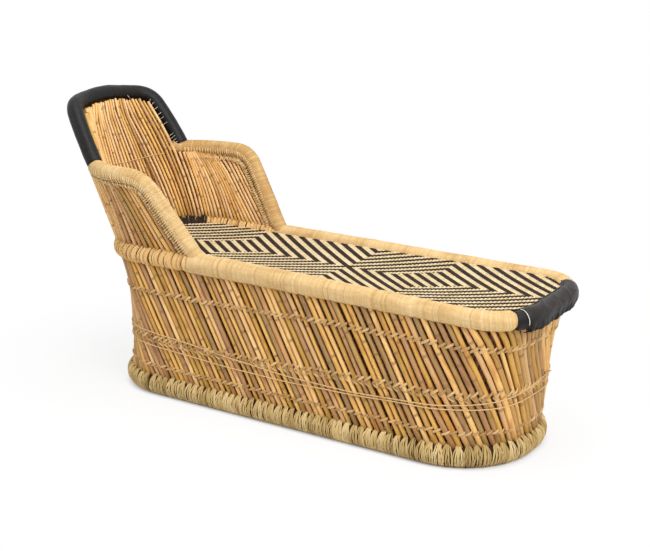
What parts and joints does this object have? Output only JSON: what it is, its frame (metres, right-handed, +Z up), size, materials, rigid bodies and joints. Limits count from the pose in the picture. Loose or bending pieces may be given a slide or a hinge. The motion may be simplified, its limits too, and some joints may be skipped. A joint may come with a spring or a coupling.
{
  "type": "reed chaise longue",
  "caption": "Long low reed seat: crossed reed wall on a grass hoop, jute-wrapped rim, woven rope seat in black and cream diamonds, low arms, leaning reed back in a black frame",
  "frame": {"origin": "middle of the overall box on the floor, under the seat", "axes": "+X runs from the back to the foot end, +Z is up, +Y is the side away from the viewer"},
  "size_m": [1.4533, 0.5064, 0.8023],
  "materials": {
    "reed": "natural golden reed, satin, with darker nodes",
    "inner_reed": "natural reed, shaded, satin",
    "pole": "bent cane pole, bare",
    "grass": "bundled dry grass, matt",
    "jute": "fine jute cord, tightly wound, matt",
    "twine": "thin jute twine, matt",
    "rope": "cream and black rope, woven in diamonds, matt",
    "leathercloth": "black leathercloth, creased, satin"
  },
  "bodies": {
    "root": {"back_cord": "twine", "back_far_inner_reeds": "inner_reed", "back_far_outer_reeds": "reed", "back_frame_cover": "leathercloth", "back_frame_pole": "pole", "back_near_inner_reeds": "inner_reed", "back_near_outer_reeds": "reed", "base_hoop": "grass", "far_arm_inner_reeds": "inner_reed", "far_arm_outer_reeds": "reed", "far_arm_pole": "pole", "far_arm_wrap": "jute", "far_rail_wrap": "jute", "far_side_inner_reeds": "inner_reed", "far_side_outer_reeds": "reed", "foot_cover": "leathercloth", "foot_far_inner_reeds": "inner_reed", "foot_far_outer_reeds": "reed", "foot_near_inner_reeds": "inner_reed", "foot_near_outer_reeds": "reed", "head_far_inner_reeds": "inner_reed", "head_far_outer_reeds": "reed", "head_near_inner_reeds": "inner_reed", "head_near_outer_reeds": "reed", "head_ring_wrap": "grass", "lower_row_cord": "twine", "near_arm_inner_reeds": "inner_reed", "near_arm_outer_reeds": "reed", "near_arm_pole": "pole", "near_arm_wrap": "jute", "near_rail_wrap": "jute", "near_side_inner_reeds": "inner_reed", "near_side_outer_reeds": "reed", "seat_ring_pole": "pole", "seat_weave": "rope", "upper_row_cord": "twine", "waist_cord_lower": "twine", "waist_cord_upper": "twine"}
  },
  "joints": []
}
